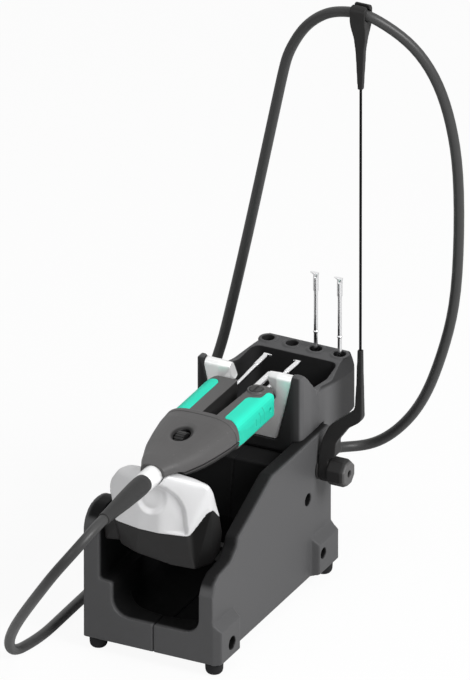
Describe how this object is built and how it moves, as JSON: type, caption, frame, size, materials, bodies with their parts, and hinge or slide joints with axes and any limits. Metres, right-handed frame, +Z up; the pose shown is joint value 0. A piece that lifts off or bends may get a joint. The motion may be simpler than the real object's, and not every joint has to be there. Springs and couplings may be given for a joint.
{
  "type": "soldering iron station",
  "caption": "Soldering tool stand with thermal tweezers in a cradle, a rack of spare cartridges and a sprung upright that holds the tool's cable clear.",
  "frame": {"origin": "on the table under the middle of the stand's base, in the plane where its two shells meet", "axes": "+Z up, -Y towards the front where the tool's cable leaves, +X towards the side with the cable support"},
  "size_m": [0.234, 0.3668, 0.4558],
  "materials": {
    "charcoal": "fine texture",
    "graphite": "satin",
    "foot_rubber": "matte",
    "steel": "plain",
    "bright_steel": "bright",
    "silver": "satin silver",
    "board_green": "solder mask",
    "black_rod": "black",
    "mint_grip": "soft touch",
    "cable_rubber": "satin"
  },
  "bodies": {
    "base": {"base_left_shell": "charcoal", "base_right_shell": "charcoal", "ballast_plate": "steel", "base_screws": "steel", "shell_screws": "steel", "foot_front_left": "foot_rubber", "foot_front_right": "foot_rubber", "foot_rear_left": "foot_rubber", "foot_rear_right": "foot_rubber", "rear_socket": "graphite", "socket_nut": "steel", "circuit_board": "board_green", "board_screws": "steel", "tip_housing": "charcoal", "housing_screws": "steel", "left_stop_plate": "silver", "right_stop_plate": "silver", "cradle_bracket": "graphite", "cradle_cup": "graphite", "cradle_cover": "silver", "cradle_screws": "steel", "clamp_washer": "graphite", "cable_rising_run": "cable_rubber", "cable_return_run": "cable_rubber", "connector_plug": "bright_steel", "connector_relief": "cable_rubber"},
    "tool": {"tool_upper_shell": "graphite", "tool_lower_shell": "graphite", "tool_screws": "steel", "neck_sleeve": "bright_steel", "strain_relief": "cable_rubber", "thumbwheel_axle": "steel", "hinge_pins": "steel", "hinge_springs": "steel", "cable_tool_run": "cable_rubber"},
    "wheel": {"thumbwheel": "graphite"},
    "left_arm": {"left_arm": "graphite", "left_grip": "mint_grip", "left_barrel": "bright_steel", "left_tip": "bright_steel"},
    "right_arm": {"right_arm": "graphite", "right_grip": "mint_grip", "stop_rod": "bright_steel", "right_barrel": "bright_steel", "right_tip": "bright_steel"},
    "cap": {"alignment_cap": "graphite"},
    "support": {"support_arm": "graphite", "support_rod": "black_rod", "cable_clip": "graphite", "cable_clip_run": "cable_rubber"},
    "knob": {"clamp_knob": "graphite"},
    "spare_inner": {"spare_barrel_inner": "bright_steel", "spare_tip_inner": "bright_steel"},
    "spare_outer": {"spare_barrel_outer": "bright_steel", "spare_tip_outer": "bright_steel"}
  },
  "joints": [
    {"name": "tool_lift", "type": "slide", "parent": "base", "child": "tool", "axis": [0, 0, 1], "range_m": [0, 0.08]},
    {"name": "left_arm_close", "type": "hinge", "parent": "tool", "child": "left_arm", "pos_m": [-0.0142, -0.032, 0.1456], "axis": [0, 0, -1], "range_deg": [0, 3.1], "stiffness_Nm_per_rad": 1, "springref_deg": -1.15},
    {"name": "right_arm_close", "type": "hinge", "parent": "tool", "child": "right_arm", "pos_m": [0.0118, -0.032, 0.1456], "axis": [0, 0, 1], "range_deg": [0, 3.1], "stiffness_Nm_per_rad": 1, "springref_deg": -1.15},
    {"name": "wheel_turn", "type": "hinge", "parent": "tool", "child": "wheel", "pos_m": [-0.0012, -0.045, 0.1498], "axis": [1, 0, 0], "range_deg": [-120, 120]},
    {"name": "cap_turn", "type": "hinge", "parent": "right_arm", "child": "cap", "pos_m": [0.0125, 0.043, 0.1546], "axis": [0, 0, 1], "range_deg": [-90, 90]},
    {"name": "support_swing", "type": "hinge", "parent": "base", "child": "support", "pos_m": [0.047, 0.0747, 0.0876], "axis": [1, 0, 0], "range_deg": [-35, 35]},
    {"name": "knob_turn", "type": "hinge", "parent": "base", "child": "knob", "pos_m": [0.06, 0.0747, 0.0876], "axis": [1, 0, 0], "continuous": true},
    {"name": "spare_inner_lift", "type": "slide", "parent": "base", "child": "spare_inner", "axis": [0, 0, 1], "range_m": [0, 0.1]},
    {"name": "spare_outer_lift", "type": "slide", "parent": "base", "child": "spare_outer", "axis": [0, 0, 1], "range_m": [0, 0.1]}
  ]
}
